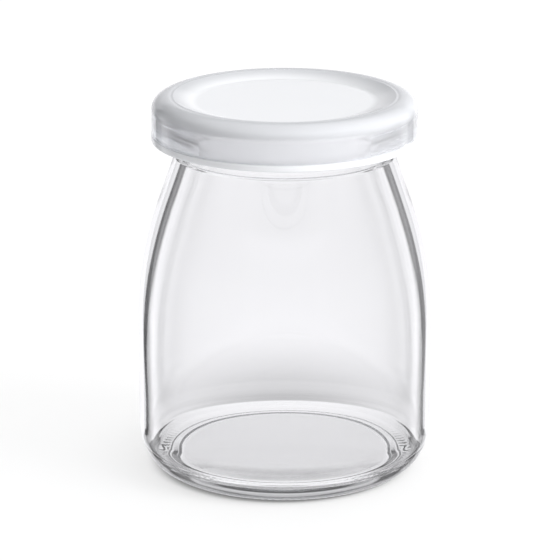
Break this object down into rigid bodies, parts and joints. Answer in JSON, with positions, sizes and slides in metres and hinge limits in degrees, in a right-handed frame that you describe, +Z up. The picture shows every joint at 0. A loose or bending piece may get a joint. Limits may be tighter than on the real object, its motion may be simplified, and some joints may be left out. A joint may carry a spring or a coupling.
{
  "type": "glass dessert jar",
  "caption": "Clear glass dessert jar with a straight body, rounded shoulder and narrower neck, closed by a shallow milky plastic press-on lid.",
  "frame": {"origin": "centre of the ring that the jar stands on, at table height", "axes": "+Z up along the jar's turning axis, towards the lid; -Y is the side that the picture shows"},
  "size_m": [0.07, 0.07, 0.0906],
  "materials": {
    "clear_glass": "polished",
    "milky_plastic": "satin, slightly see-through"
  },
  "bodies": {
    "root": {"jar": "clear_glass", "lid": "milky_plastic"}
  },
  "joints": []
}
